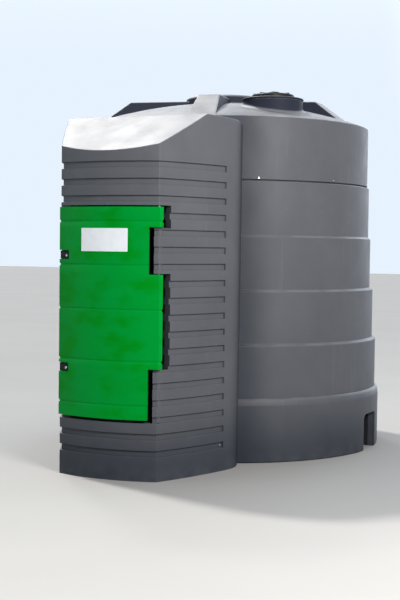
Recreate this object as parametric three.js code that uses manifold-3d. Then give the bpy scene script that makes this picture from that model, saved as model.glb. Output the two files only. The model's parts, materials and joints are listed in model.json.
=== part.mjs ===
// Vertical storage tank for fuel: a round moulded shell in stepped rings, a ribbed roof with a manhole,
// and a grooved cabinet on its front with a hinged door.
// Millimetres, +Z up. The origin is on the ground at the tank's axis, the cabinet faces -Y.
// Angles round the tank are measured from the cabinet's axis, towards +X.

import * as THREE from 'three';
import { mergeVertices } from 'three/addons/utils/BufferGeometryUtils.js';
import Module from 'manifold-3d';

const wasm = await Module();
wasm.setup();

// Thickness of the moulded walls, and the gap between pieces that touch
const WALL = 12;
const TOUCH = 0.3;

// How far cutting shapes reach: a little past what they cut, past the tank's side, and over its top
const PAST = 5;
const BEYOND_ALL = 2000;
const ABOVE_ALL = 3000;

// Round shell, from the ground up: a skirt with a rounded shoulder, four rings, then the cap
const SKIRT = { radius: 1115, top: 411, shoulder: 46 };
const RINGS = [
  { radius: 1090, top: 757 },
  { radius: 1066, top: 1103 },
  { radius: 1044, top: 1454 },
  { radius: 1028, top: 1799 },
];
const STEP_SLOPE = 14;
const SEAM = { height: 9, outer: 1008, inner: 990, shelf: 24 };
const CAP = { radius: 1015, rim: 2212 };
const FACETS = 48;
const MANHOLE_FACETS = 36;
const ROD_FACETS = 16;

// Roof: a shallow dome up to the hub, five box ribs, and the manhole between two of them
const HUB = { radius: 293, base: 2374, top: 2440, edge: 18 };
const DOME_RISE = 22;
const RIB_ANGLES = [14, 88, 159, 231, 303];
const RIB = { topHub: 2402, topOuter: 2382, slopeFrom: 712, slope: 0.62, topHalf: 54, baseHalf: 80 };
const MANHOLE = { angle: 50, reach: 670, neck: 200, ring: 205, ringInner: 152, bore: 120, plate: 11 };
const MANHOLE_TOP = 2365;
const LID = { radius: 142, skirt: 36, shoulder: 7, domeFrom: 132, crown: 54, plug: 112, plugDepth: 30 };
const LUG = { half: 26, reach: 40, top: 63, chamfer: 10 };
const GRIP = { count: 8, from: 64, half: 9, top: 49 };

// Arched recess in the skirt at both sides
const RECESS = { from: -150, to: 100, height: 250, corner: 40, back: 900, lining: 10 };

// Cabinet plan: the bowed front between two corners, and sides that flare back to a rounded shoulder
const CORNER = { x: 325, y: -1774 };
const FRONT_BOW = 59;
const SIDE = { heading: 63, bend: 2800, grooveEnd: 560 };
const SHOULDER = { from: 645, bend: 150, heading: 108 };
const SIDE_CORNERS = [0, 245, 402];
const SIDE_RUN = 260;
const PANEL_RETURN = 88;
const CABINET_HALF = 700;
const BOW_PIECES = 8;

// Hood over the cabinet, as points from the front up to the crest and along the deck
const HOOD = [[-1900, 1884], [-1774, 1965], [-1428, 2166], [-860, 2146]];

// Horizontal grooves that wrap the cabinet
const GROOVE = { count: 18, first: 1865, pitch: 99.1, height: 38, depth: 11 };

// Door, and the hinge that is cut like a comb into the right corner
const DOOR = { bottom: 360, top: 1600, proud: 12, thick: 26, left: -327, right: 275, lip: 24, lipThick: 14 };
const DOORWAY = { bottom: 342, top: 1609, lip: 50, jambFrom: -307, jambTo: -262, clear: 5 };
const DOOR_TABS = [[658, 1208], [1481, 1600]];
const WALL_TABS = [[342, 653], [1213, 1476]];
const WALL_TAB_EDGE = 298;
const DOOR_CREASES = { heights: [442, 700, 1001, 1260, 1516], half: 5, depth: 6 };
const PIN = { x: 312, y: -1746, radius: 8, play: 1, barrel: 18 };
const LOCK = { heights: [647, 1317], from: -322, to: -250, half: 24, pocket: 18, thick: 10, margin: 3 };
const PLATE = { half: 152, bottom: 1339, top: 1475, thick: 2 };

// Cabinet floors, clear of the grooves' backs
const FLOOR_LEVEL = 300;

const GREY = new THREE.MeshStandardMaterial({ color: 0x666b72, roughness: 0.62, metalness: 0 });
const DARK_GREY = new THREE.MeshStandardMaterial({ color: 0x3a3d42, roughness: 0.75, metalness: 0 });
const BLACK = new THREE.MeshStandardMaterial({ color: 0x141516, roughness: 0.5, metalness: 0 });
const GREEN = new THREE.MeshStandardMaterial({ color: 0x00872c, roughness: 0.45, metalness: 0 });
const WHITE = new THREE.MeshStandardMaterial({ color: 0xe6e9ec, roughness: 0.4, metalness: 0 });
const STEEL = new THREE.MeshStandardMaterial({ color: 0x9a9da0, roughness: 0.35, metalness: 1 });

const tank = new THREE.Group();
tank.name = 'storage_tank';

const radians = THREE.MathUtils.degToRad;

// Solids

function solidOf(geometry) {
  geometry.deleteAttribute('normal');
  geometry.deleteAttribute('uv');
  const merged = mergeVertices(geometry, 1e-3);
  const mesh = new wasm.Mesh({
    numProp: 3,
    vertProperties: new Float32Array(merged.attributes.position.array),
    triVerts: new Uint32Array(merged.index.array),
  });
  return new wasm.Manifold(mesh);
}

function add(name, solid, material) {
  const made = solid.getMesh();
  const geometry = new THREE.BufferGeometry();
  geometry.setAttribute('position', new THREE.BufferAttribute(made.vertProperties, 3));
  geometry.setIndex(new THREE.BufferAttribute(made.triVerts, 1));
  geometry.computeVertexNormals();
  const mesh = new THREE.Mesh(geometry, material);
  mesh.name = name;
  tank.add(mesh);
}

// A turned solid about the tank's axis, from a closed profile of [radius, height] points.
// Its facets start half a step round, so that a cut along a quarter line meets the middle of one.
function turned(profile, facets = FACETS) {
  const points = profile.map(([r, z]) => new THREE.Vector2(r, z));
  const step = (2 * Math.PI) / facets;
  const geometry = new THREE.LatheGeometry(points, facets, step / 2, 2 * Math.PI);
  geometry.rotateX(Math.PI / 2);
  return solidOf(geometry);
}

function turnedAt(profile, x, y, facets) {
  const points = profile.map(([r, z]) => new THREE.Vector2(r, z));
  const geometry = new THREE.LatheGeometry(points, facets);
  geometry.rotateX(Math.PI / 2);
  geometry.translate(x, y, 0);
  return solidOf(geometry);
}

function rod(x, y, radius, bottom, top, facets = ROD_FACETS) {
  return turnedAt([[0, bottom], [radius, bottom], [radius, top], [0, top]], x, y, facets);
}

// An upright prism over a plan outline
function prism(outline, bottom, top) {
  const shape = new THREE.Shape(outline.map(([x, y]) => new THREE.Vector2(x, y)));
  const geometry = new THREE.ExtrudeGeometry(shape, { depth: top - bottom, bevelEnabled: false });
  geometry.translate(0, 0, bottom);
  return solidOf(geometry);
}

// A prism that runs along X, over an outline of [y, z] points
function beamShape(outline, from, to) {
  const shape = new THREE.Shape(outline.map(([y, z]) => new THREE.Vector2(y, z)));
  const geometry = new THREE.ExtrudeGeometry(shape, { depth: to - from, bevelEnabled: false });
  const turn = new THREE.Matrix4();
  turn.makeBasis(new THREE.Vector3(0, 1, 0), new THREE.Vector3(0, 0, 1), new THREE.Vector3(1, 0, 0));
  geometry.applyMatrix4(turn);
  geometry.translate(from, 0, 0);
  return geometry;
}

function beamAlongX(outline, from, to) {
  return solidOf(beamShape(outline, from, to));
}

// A wedge that keeps one part of the round, half a gap inside its two side planes
function sector(from, to, bottom, top) {
  const middle = radians((from + to) / 2);
  const half = radians((to - from) / 2);
  const start = TOUCH / 2 / Math.sin(half);
  const along = (angle, distance) => [
    start * Math.sin(middle) + distance * Math.sin(angle),
    -start * Math.cos(middle) - distance * Math.cos(angle),
  ];
  return prism(
    [along(middle, 0), along(middle - half, BEYOND_ALL), along(middle + half, BEYOND_ALL)],
    bottom,
    top,
  );
}

// Plan paths. The inside of the cabinet lies on a path's left.

function offset(path, distance) {
  return path.map((point, i) => {
    const before = path[Math.max(i - 1, 0)];
    const after = path[Math.min(i + 1, path.length - 1)];
    const here = new THREE.Vector2(...point);
    const incoming = here.clone().sub(new THREE.Vector2(...before)).normalize();
    const outgoing = new THREE.Vector2(...after).sub(here).normalize();
    const first = incoming.lengthSq() > 0 ? incoming : outgoing;
    const second = outgoing.lengthSq() > 0 ? outgoing : incoming;
    const mitre = new THREE.Vector2(-first.y - second.y, first.x + second.x).normalize();
    const reach = distance / mitre.dot(new THREE.Vector2(-first.y, first.x));
    return [point[0] + mitre.x * reach, point[1] + mitre.y * reach];
  });
}

function ribbon(path, outer, inner) {
  return [...offset(path, outer), ...offset(path, inner).reverse()];
}

const bowRadius = (CORNER.x ** 2 + FRONT_BOW ** 2) / (2 * FRONT_BOW);
const bowCentreY = CORNER.y - FRONT_BOW + bowRadius;

// Points of the bowed front from one x to another, at a radius about the bow's centre
function bow(radius, fromX, toX, pieces) {
  const start = Math.asin(fromX / radius);
  const end = Math.asin(toX / radius);
  return Array.from({ length: pieces + 1 }, (_, i) => {
    const angle = start + ((end - start) * i) / pieces;
    return [radius * Math.sin(angle), bowCentreY - radius * Math.cos(angle)];
  });
}

// A point on the right side, at a distance along it from the front corner
function sidePoint(distance) {
  const bendStart = radians(SIDE.heading);
  const shoulderStart = bendStart + SHOULDER.from / SIDE.bend;
  const straightStart = radians(SHOULDER.heading);
  const arc = (from, radius, start, end) => [
    from[0] + radius * (Math.sin(end) - Math.sin(start)),
    from[1] + radius * (Math.cos(start) - Math.cos(end)),
  ];
  const corner = [CORNER.x, CORNER.y];
  if (distance <= SHOULDER.from) {
    return arc(corner, SIDE.bend, bendStart, bendStart + distance / SIDE.bend);
  }
  const shoulder = arc(corner, SIDE.bend, bendStart, shoulderStart);
  const shoulderLength = (straightStart - shoulderStart) * SHOULDER.bend;
  const past = distance - SHOULDER.from;
  if (past <= shoulderLength) {
    return arc(shoulder, SHOULDER.bend, shoulderStart, shoulderStart + past / SHOULDER.bend);
  }
  const end = arc(shoulder, SHOULDER.bend, shoulderStart, straightStart);
  const run = past - shoulderLength;
  return [end[0] + run * Math.cos(straightStart), end[1] + run * Math.sin(straightStart)];
}

const shoulderTurn = radians(SHOULDER.heading - SIDE.heading) - SHOULDER.from / SIDE.bend;
const shoulderTo = SHOULDER.from + shoulderTurn * SHOULDER.bend;
const sideEnd = shoulderTo + SIDE_RUN;

// Distances along a side at which the wall's outline has a corner
const sideStations = [
  ...SIDE_CORNERS, SIDE.grooveEnd, SHOULDER.from,
  ...[0.25, 0.5, 0.75, 1].map((t) => SHOULDER.from + t * (shoulderTo - SHOULDER.from)),
  sideEnd,
];

// A point on the outline's straight pieces between those corners
function outlinePoint(distance) {
  const next = Math.max(sideStations.findIndex((s) => s >= distance), 1);
  const [from, to] = [sideStations[next - 1], sideStations[next]];
  const [a, b] = [sidePoint(from), sidePoint(to)];
  const share = (distance - from) / (to - from);
  return [a[0] + (b[0] - a[0]) * share, a[1] + (b[1] - a[1]) * share];
}

function rightSide(from, to) {
  const between = sideStations.filter((s) => s > from && s < to);
  return [from, ...between, to].map(outlinePoint);
}

function leftSide(from, to) {
  return rightSide(from, to).map(([x, y]) => [-x, y]).reverse();
}

// Round shell

function skirtShoulder(inset) {
  const across = SKIRT.radius - RINGS[0].radius;
  return [0, 0.5, 1].map((t) => {
    const angle = (t * Math.PI) / 2;
    return [
      RINGS[0].radius - inset + across * Math.cos(angle),
      SKIRT.top - SKIRT.shoulder + SKIRT.shoulder * Math.sin(angle),
    ];
  });
}

// The shell's outline going up, moved in by an inset
function shellOutline(inset) {
  const points = [[SKIRT.radius - inset, 0], ...skirtShoulder(inset)];
  RINGS.slice(0, -1).forEach((ring, i) => {
    points.push([ring.radius - inset, ring.top - STEP_SLOPE]);
    points.push([RINGS[i + 1].radius - inset, ring.top]);
  });
  return points;
}

const lowerTop = RINGS.at(-1).top;
const capBottom = lowerTop + SEAM.height;

const lowerProfile = [
  ...shellOutline(0),
  [RINGS.at(-1).radius, lowerTop],
  [SEAM.inner, lowerTop],
  [SEAM.inner, lowerTop - SEAM.shelf],
  [RINGS.at(-1).radius - WALL, lowerTop - 2 * SEAM.shelf],
  ...shellOutline(WALL).reverse(),
];
lowerProfile.push(lowerProfile[0]);

const capProfile = [
  [CAP.radius, capBottom],
  [CAP.radius, CAP.rim - WALL - TOUCH],
  [CAP.radius - WALL, CAP.rim - WALL - TOUCH],
  [CAP.radius - WALL, capBottom + SEAM.shelf],
  [SEAM.inner, capBottom],
  [CAP.radius, capBottom],
];

// All that the round shell and its roof hold, grown by a gap, to cut neighbours back from it
const roofHeight = (r) => {
  const across = (r - HUB.radius) / (CAP.radius - HUB.radius);
  return HUB.base + (CAP.rim - HUB.base) * across + 4 * DOME_RISE * across * (1 - across);
};
const roofRadii = [1, 0.8, 0.55, 0.28, 0].map((t) => HUB.radius + t * (CAP.radius - HUB.radius));
const shellFilled = turned([
  [0, -PAST],
  [SKIRT.radius + TOUCH, -PAST],
  ...shellOutline(-TOUCH),
  [RINGS.at(-1).radius + TOUCH, lowerTop + TOUCH],
  [CAP.radius + TOUCH, lowerTop + TOUCH],
  ...roofRadii.map((r) => [r + TOUCH, roofHeight(r) + TOUCH]),
  [0, HUB.base + TOUCH],
]);

const lowerShell = turned(lowerProfile);
const capShell = turned(capProfile);

// The recess's arch, from one side round the top to the other
function arch(grow, bottom) {
  const corner = RECESS.corner + grow;
  const left = RECESS.from - grow;
  const right = RECESS.to + grow;
  const top = RECESS.height + grow;
  const round = (cx, start) => [0, 0.25, 0.5, 0.75, 1].map((t) => {
    const angle = start - (t * Math.PI) / 2;
    return [cx + corner * Math.cos(angle), top - corner + corner * Math.sin(angle)];
  });
  const over = [...round(left + corner, Math.PI), ...round(right - corner, Math.PI / 2)];
  return [[left, bottom], ...over, [right, bottom]];
}

const recessSides = [['left', -1], ['right', 1]];
const beamOut = (outline, sign, near, far) =>
  sign > 0 ? beamAlongX(outline, near, far) : beamAlongX(outline, -far, -near);
const recessFar = SKIRT.radius + PAST;
const recessCuts = recessSides.map(([, sign]) => beamOut(arch(0, -PAST), sign, RECESS.back, recessFar));

function buildRoundShell() {
  const quarters = [['front', 0], ['right', 90], ['back', 180], ['left', 270]];
  for (const [name, angle] of quarters) {
    const wedge = sector(angle - 45, angle + 45, -PAST, ABOVE_ALL);
    let lower = lowerShell.intersect(wedge);
    for (const cut of recessCuts) lower = lower.subtract(cut);
    add(`shell_${name}`, lower, GREY);
    add(`cap_wall_${name}`, capShell.intersect(wedge), GREY);
  }
  const seam = turned([
    [SEAM.inner + 1, lowerTop + TOUCH],
    [SEAM.outer, lowerTop + TOUCH],
    [SEAM.outer, capBottom - TOUCH],
    [SEAM.inner + 1, capBottom - TOUCH],
    [SEAM.inner + 1, lowerTop + TOUCH],
  ]);
  add('seam_gasket', seam, DARK_GREY);

  const insideRadius = SKIRT.radius - WALL - TOUCH;
  let floor = turned([[0, 0], [insideRadius, 0], [insideRadius, WALL], [0, WALL]]);
  const insideShell = turned([[0, -PAST], [insideRadius, -PAST], [insideRadius, SKIRT.top], [0, SKIRT.top]]);
  for (const [name, sign] of recessSides) {
    const outer = beamOut(arch(RECESS.lining, 0), sign, RECESS.back - RECESS.lining, SKIRT.radius);
    const inner = beamOut(arch(0, -PAST), sign, RECESS.back, recessFar);
    add(`recess_lining_${name}`, outer.subtract(inner).intersect(insideShell), DARK_GREY);
    floor = floor.subtract(
      beamOut(arch(RECESS.lining + TOUCH, -PAST), sign, RECESS.back - RECESS.lining - TOUCH, SKIRT.radius),
    );
  }
  add('tank_floor', floor, GREY);
}

// Roof

const manholeX = MANHOLE.reach * Math.sin(radians(MANHOLE.angle));
const manholeY = -MANHOLE.reach * Math.cos(radians(MANHOLE.angle));
const hubWallInner = HUB.radius - WALL;
const roofInner = hubWallInner + TOUCH;

// The space above the roof's skin, less a gap
const aboveRoof = turned([
  [0, HUB.base + TOUCH],
  ...roofRadii.slice().reverse().map((r) => [r, roofHeight(r) + TOUCH]),
  [BEYOND_ALL, CAP.rim + TOUCH],
  [BEYOND_ALL, ABOVE_ALL],
  [0, ABOVE_ALL],
]);

function radialBox(angle, outline, halfWidth) {
  const shape = new THREE.Shape(outline.map(([r, z]) => new THREE.Vector2(r, z)));
  const geometry = new THREE.ExtrudeGeometry(shape, { depth: 2 * halfWidth, bevelEnabled: false });
  const outward = new THREE.Vector3(Math.sin(radians(angle)), -Math.cos(radians(angle)), 0);
  const up = new THREE.Vector3(0, 0, 1);
  const across = outward.clone().cross(up);
  const place = new THREE.Matrix4().makeBasis(outward, up, across);
  geometry.translate(0, 0, -halfWidth);
  geometry.applyMatrix4(place);
  return solidOf(geometry);
}

// A straight prism along the radius, over an outline of [across, height] points
function radialBeam(angle, outline, from, to) {
  const shape = new THREE.Shape(outline.map(([a, z]) => new THREE.Vector2(a, z)));
  const geometry = new THREE.ExtrudeGeometry(shape, { depth: to - from, bevelEnabled: false });
  const outward = new THREE.Vector3(Math.sin(radians(angle)), -Math.cos(radians(angle)), 0);
  const up = new THREE.Vector3(0, 0, 1);
  const across = up.clone().cross(outward);
  geometry.translate(0, 0, from);
  geometry.applyMatrix4(new THREE.Matrix4().makeBasis(across, up, outward));
  return solidOf(geometry);
}

function buildRoof() {
  const upTheRoof = roofRadii.slice().reverse();
  const underside = upTheRoof.map((r) => [Math.min(r, CAP.radius - PAST), roofHeight(r) - WALL]);
  let roof = turned([
    [CAP.radius, CAP.rim - WALL],
    ...roofRadii.map((r) => [r, roofHeight(r)]),
    [roofInner, HUB.base],
    [roofInner, HUB.base - WALL],
    ...underside,
    [CAP.radius, CAP.rim - WALL],
  ]);
  roof = roof.subtract(rod(manholeX, manholeY, MANHOLE.neck - WALL, lowerTop, ABOVE_ALL, MANHOLE_FACETS));
  add('roof', roof, GREY);

  const hub = turned([
    [hubWallInner, HUB.base - WALL],
    [HUB.radius, HUB.base - WALL],
    [HUB.radius, HUB.top - HUB.edge],
    [HUB.radius - HUB.edge / 3, HUB.top - HUB.edge / 3],
    [HUB.radius - HUB.edge, HUB.top],
    [0, HUB.top],
    [0, HUB.top - WALL],
    [HUB.radius - HUB.edge - WALL, HUB.top - WALL],
    [hubWallInner, HUB.top - HUB.edge - WALL / 2],
    [hubWallInner, HUB.base - WALL],
  ]);
  add('roof_hub', hub.intersect(aboveRoof), GREY);

  const besideHub = HUB.radius + TOUCH;
  const hubSide = turned([[0, lowerTop], [besideHub, lowerTop], [besideHub, ABOVE_ALL], [0, ABOVE_ALL]]);
  const low = CAP.rim - WALL;
  const high = RIB.topHub + WALL;
  const lean = (RIB.baseHalf - RIB.topHalf) / (RIB.topOuter - CAP.rim);
  const halfAt = (z) => RIB.baseHalf - lean * (z - CAP.rim);
  RIB_ANGLES.forEach((angle, i) => {
    const side = radialBox(angle, [
      [HUB.radius - WALL, low],
      [RIB.slopeFrom + (RIB.topOuter - low) / RIB.slope, low],
      [RIB.slopeFrom, RIB.topOuter],
      [HUB.radius - WALL, RIB.topHub],
    ], halfAt(low) + PAST);
    const section = radialBeam(angle, [
      [-halfAt(low), low],
      [halfAt(low), low],
      [halfAt(high), high],
      [-halfAt(high), high],
    ], HUB.radius - WALL, CAP.radius);
    const rib = side.intersect(section).intersect(aboveRoof).subtract(hubSide);
    add(`roof_rib_${i + 1}`, rib, GREY);
  });
}

function buildManhole() {
  const plateTop = MANHOLE_TOP - MANHOLE.plate;
  const round = (radius, bottom, top) => rod(manholeX, manholeY, radius, bottom, top, MANHOLE_FACETS);
  const neckOuter = round(MANHOLE.neck, CAP.rim, plateTop);
  const neckInner = round(MANHOLE.neck - WALL, lowerTop, plateTop - WALL);
  const bore = round(MANHOLE.bore, lowerTop, ABOVE_ALL);
  add('manhole_neck', neckOuter.subtract(neckInner).subtract(bore).intersect(aboveRoof), GREY);

  const seat = plateTop + TOUCH;
  const ringHole = round(MANHOLE.ringInner, lowerTop, ABOVE_ALL);
  add('manhole_ring', round(MANHOLE.ring, seat, MANHOLE_TOP).subtract(ringHole), GREY);

  let lid = turnedAt([
    [0, seat - LID.plugDepth],
    [LID.plug, seat - LID.plugDepth],
    [LID.plug, seat],
    [LID.radius, seat],
    [LID.radius, seat + LID.skirt],
    [LID.domeFrom, seat + LID.skirt + LID.shoulder],
    [LUG.reach, seat + LID.crown],
    [0, seat + LID.crown],
  ], manholeX, manholeY, MANHOLE_FACETS);

  // A raised block in the middle with chamfered ends, and short bars round it for the hands
  const block = beamShape([
    [-LUG.reach, LID.skirt],
    [LUG.reach, LID.skirt],
    [LUG.reach, LUG.top - LUG.chamfer],
    [LUG.reach - LUG.chamfer, LUG.top],
    [LUG.chamfer - LUG.reach, LUG.top],
    [-LUG.reach, LUG.top - LUG.chamfer],
  ], -LUG.half, LUG.half);
  block.rotateZ(radians(MANHOLE.angle));
  block.translate(manholeX, manholeY, seat);
  lid = lid.add(solidOf(block));
  for (let i = 0; i < GRIP.count; i += 1) {
    const length = LID.domeFrom - GRIP.from;
    const bar = new THREE.BoxGeometry(length, 2 * GRIP.half, GRIP.top - LID.skirt);
    bar.translate(GRIP.from + length / 2, 0, (GRIP.top + LID.skirt) / 2);
    bar.rotateZ(radians(MANHOLE.angle + (i + 0.5) * (360 / GRIP.count)));
    bar.translate(manholeX, manholeY, seat);
    lid = lid.add(solidOf(bar));
  }
  add('manhole_lid', lid, BLACK);
}

// Cabinet

const grooveTops = Array.from({ length: GROOVE.count }, (_, i) => GROOVE.first - i * GROOVE.pitch);

// A moulded wall along a path, with grooves that jog inwards at its own thickness.
// The grooves run along groovePath, and stop at a small upright wall at its ends.
function groovedWall(path, groovePath, backPath, bottom, top) {
  let wall = prism(ribbon(path, 0, WALL), bottom, top);
  const shown = grooveTops.filter((z) => z - GROOVE.height / 2 > bottom && z < top);
  for (const z of shown) {
    const low = Math.max(z - GROOVE.height - WALL, bottom);
    const high = Math.min(z + WALL, top);
    wall = wall.add(prism(ribbon(backPath, GROOVE.depth, GROOVE.depth + WALL), low, high));
  }
  for (const z of shown) {
    wall = wall.subtract(prism(ribbon(groovePath, -PAST, GROOVE.depth), z - GROOVE.height, z));
  }
  return wall;
}

const crest = Math.max(...HOOD.map(([, z]) => z));
const hoodUnderside = offset(HOOD, -WALL - TOUCH);
const hoodSky = [[HOOD.at(-1)[0], ABOVE_ALL], [HOOD[0][0], ABOVE_ALL]];
const aboveHood = beamAlongX([...hoodUnderside, ...hoodSky], -CABINET_HALF, CABINET_HALF);

// The plan of the whole cabinet, from the left wall's end round the front to the right wall's end
const frontPath = bow(bowRadius, -CORNER.x, CORNER.x, BOW_PIECES);
const wholePath = [...leftSide(0, sideEnd).slice(0, -1), ...frontPath, ...rightSide(0, sideEnd).slice(1)];

function buildCabinetShell() {
  const backStation = SIDE.grooveEnd + WALL;
  const gap = TOUCH / 2;
  const walls = {
    right: [
      rightSide(PANEL_RETURN + gap, sideEnd),
      rightSide(PANEL_RETURN - PAST, SIDE.grooveEnd),
      rightSide(PANEL_RETURN + gap, backStation),
    ],
    left: [
      leftSide(PANEL_RETURN + gap, sideEnd),
      leftSide(PANEL_RETURN - PAST, SIDE.grooveEnd),
      leftSide(PANEL_RETURN + gap, backStation),
    ],
  };
  for (const [name, [path, groovePath, backPath]] of Object.entries(walls)) {
    const wall = groovedWall(path, groovePath, backPath, 0, crest);
    add(`cabinet_wall_${name}`, wall.subtract(aboveHood).subtract(shellFilled), GREY);
  }

  const wrap = PANEL_RETURN - gap;
  const panelPath = [...leftSide(0, wrap).slice(0, -1), ...frontPath, ...rightSide(0, wrap).slice(1)];
  const lipEnd = CORNER.x - WALL / 6;
  const lipPath = bow(bowRadius, -lipEnd, lipEnd, BOW_PIECES);
  const upper = groovedWall(panelPath, panelPath, panelPath, DOORWAY.top, crest);
  const upperLip = prism(ribbon(lipPath, WALL / 2, DOORWAY.lip), DOORWAY.top, DOORWAY.top + WALL);
  add('cabinet_front_upper', upper.add(upperLip).subtract(aboveHood), GREY);
  const lower = groovedWall(panelPath, panelPath, panelPath, 0, DOORWAY.bottom);
  const lowerLip = prism(ribbon(lipPath, WALL / 2, DOORWAY.lip), DOORWAY.bottom - WALL, DOORWAY.bottom);
  add('cabinet_front_lower', lower.add(lowerLip), GREY);

  const top = beamAlongX([...HOOD, ...offset(HOOD, -WALL).reverse()], -CABINET_HALF, CABINET_HALF);
  const cover = prism(wholePath, DOORWAY.top, ABOVE_ALL);
  add('cabinet_hood', top.intersect(cover).subtract(shellFilled), GREY);

  const inside = offset(wholePath, WALL + TOUCH);
  for (const [name, level] of [['cabinet_base', 0], ['cabinet_floor', FLOOR_LEVEL]]) {
    add(name, prism(inside, level, level + WALL).subtract(shellFilled), GREY);
  }
}

function buildDoorway() {
  const gap = TOUCH / 2;
  const wrap = PANEL_RETURN - gap;
  const bottom = DOORWAY.bottom + TOUCH;
  const top = DOORWAY.top - TOUCH;

  // The jamb on the lock side: the side wall's front edge, and a flange that the door closes against
  const doorBack = bowRadius + DOOR.proud - DOOR.thick;
  const jambFace = doorBack - DOORWAY.clear;
  const sidePath = leftSide(0, wrap);
  const side = groovedWall(sidePath, sidePath, sidePath, bottom, top);
  const keepOut = turnedAt([
    [jambFace, 0],
    [BEYOND_ALL, 0],
    [BEYOND_ALL, ABOVE_ALL],
    [jambFace, ABOVE_ALL],
    [jambFace, 0],
  ], 0, bowCentreY, 2 * FACETS);
  const flangePath = bow(jambFace, DOORWAY.jambFrom, DOORWAY.jambTo, 2);
  const flange = prism(ribbon(flangePath, TOUCH, WALL), bottom, top);
  add('lock_jamb', side.subtract(keepOut).add(flange), GREY);

  // The wall's hinge tabs, round the right corner, each with a barrel on the pin
  const tabPath = [...bow(bowRadius, WALL_TAB_EDGE, CORNER.x, 1), ...rightSide(0, wrap).slice(1)];
  WALL_TABS.forEach(([low, high], i) => {
    const from = low === DOORWAY.bottom ? bottom : low;
    const barrel = rod(PIN.x, PIN.y, PIN.barrel, from, high);
    const bore = rod(PIN.x, PIN.y, PIN.radius + TOUCH, from - PAST, high + PAST);
    const tab = groovedWall(tabPath, tabPath, tabPath, from, high);
    add(`hinge_tab_${i === 0 ? 'lower' : 'upper'}`, tab.add(barrel).subtract(bore), GREY);
  });
}

// Door

function buildDoor() {
  const face = bowRadius + DOOR.proud;
  const plate = bow(face, -PLATE.half, PLATE.half, 5);
  const body = [
    ...bow(face, DOOR.left, -PLATE.half, 3).slice(0, -1),
    ...plate,
    ...bow(face, PLATE.half, DOOR.right, 2).slice(1),
  ];
  let door = prism(ribbon(body, 0, DOOR.thick), DOOR.bottom, DOOR.top);

  const tabCorner = CORNER.x + DOOR.proud;
  const tabFront = bow(face, DOOR.right, tabCorner, 1);
  const [cornerX, cornerY] = tabFront.at(-1);
  const heading = radians(SIDE.heading);
  const lipEnd = [cornerX + DOOR.lip * Math.cos(heading), cornerY + DOOR.lip * Math.sin(heading)];
  for (const [low, high] of DOOR_TABS) {
    const skin = prism(ribbon([body.at(-2), ...tabFront, lipEnd], 0, DOOR.lipThick), low, high);
    const backing = prism(ribbon(bow(face, DOOR.right - WALL, CORNER.x, 1), 0, DOOR.thick), low, high);
    const barrel = rod(PIN.x, PIN.y, PIN.barrel, low, high);
    door = door.add(skin).add(backing).add(barrel);
  }
  door = door.subtract(rod(PIN.x, PIN.y, PIN.radius + PIN.play, DOOR.bottom - PAST, DOOR.top + PAST));

  for (const z of DOOR_CREASES.heights) {
    const across = [...body, ...tabFront.slice(1), lipEnd];
    const crease = ribbon(across, -PAST, DOOR_CREASES.depth);
    door = door.subtract(prism(crease, z - DOOR_CREASES.half, z + DOOR_CREASES.half));
  }
  LOCK.heights.forEach((z, i) => {
    const pocket = bow(face, DOOR.left - PAST, LOCK.to + LOCK.margin, 2);
    const low = z - LOCK.half;
    const high = z + LOCK.half;
    door = door.subtract(prism(ribbon(pocket, -PAST, LOCK.pocket), low - LOCK.margin, high + LOCK.margin));
    const seat = LOCK.pocket - TOUCH;
    const block = prism(ribbon(bow(face, LOCK.from, LOCK.to, 2), seat - LOCK.thick, seat), low, high);
    add(`door_lock_${i === 0 ? 'lower' : 'upper'}`, block, BLACK);
  });
  add('door', door, GREEN);

  const plateSolid = prism(ribbon(plate, -PLATE.thick - TOUCH, -TOUCH), PLATE.bottom, PLATE.top);
  add('label_plate', plateSolid, WHITE);
  const pin = rod(PIN.x, PIN.y, PIN.radius, DOORWAY.bottom + TOUCH, DOORWAY.top - TOUCH);
  add('hinge_pin', pin, STEEL);
}

buildRoundShell();
buildRoof();
buildManhole();
buildCabinetShell();
buildDoorway();
buildDoor();

export default tank;
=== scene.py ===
import json
import math

import bmesh
import bpy
from mathutils import Matrix, Vector

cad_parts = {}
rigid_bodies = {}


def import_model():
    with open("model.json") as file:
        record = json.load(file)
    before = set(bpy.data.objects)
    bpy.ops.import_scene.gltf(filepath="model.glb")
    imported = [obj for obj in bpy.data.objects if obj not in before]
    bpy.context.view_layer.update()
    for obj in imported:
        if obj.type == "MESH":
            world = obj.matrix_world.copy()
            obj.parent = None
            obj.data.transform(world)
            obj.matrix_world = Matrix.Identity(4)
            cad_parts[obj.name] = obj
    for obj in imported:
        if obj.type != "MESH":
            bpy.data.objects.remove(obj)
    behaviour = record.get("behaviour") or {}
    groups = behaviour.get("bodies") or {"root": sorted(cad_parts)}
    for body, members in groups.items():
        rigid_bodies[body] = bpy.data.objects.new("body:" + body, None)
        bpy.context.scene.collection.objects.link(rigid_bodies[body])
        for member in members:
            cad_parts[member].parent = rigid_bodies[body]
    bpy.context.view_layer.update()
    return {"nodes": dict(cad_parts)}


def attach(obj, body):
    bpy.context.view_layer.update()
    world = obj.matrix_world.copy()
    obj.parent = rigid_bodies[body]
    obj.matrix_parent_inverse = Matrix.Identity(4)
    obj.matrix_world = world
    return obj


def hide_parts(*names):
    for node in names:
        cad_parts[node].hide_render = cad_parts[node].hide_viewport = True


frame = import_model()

print("frame loaded,", len(frame["nodes"]), "solids")

# Metres, +Z up, the tank's axis at the origin, the cabinet towards -Y.


def addPrimitive(kind, name, scale=(1, 1, 1), **how):
    bpy.ops.object.select_all(action="DESELECT")
    getattr(bpy.ops.mesh, "primitive_" + kind + "_add")(**how)
    made = bpy.context.object
    made.scale = scale
    made.name = made.data.name = name
    bpy.ops.object.transform_apply(location=True, rotation=True, scale=True)
    return made


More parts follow.
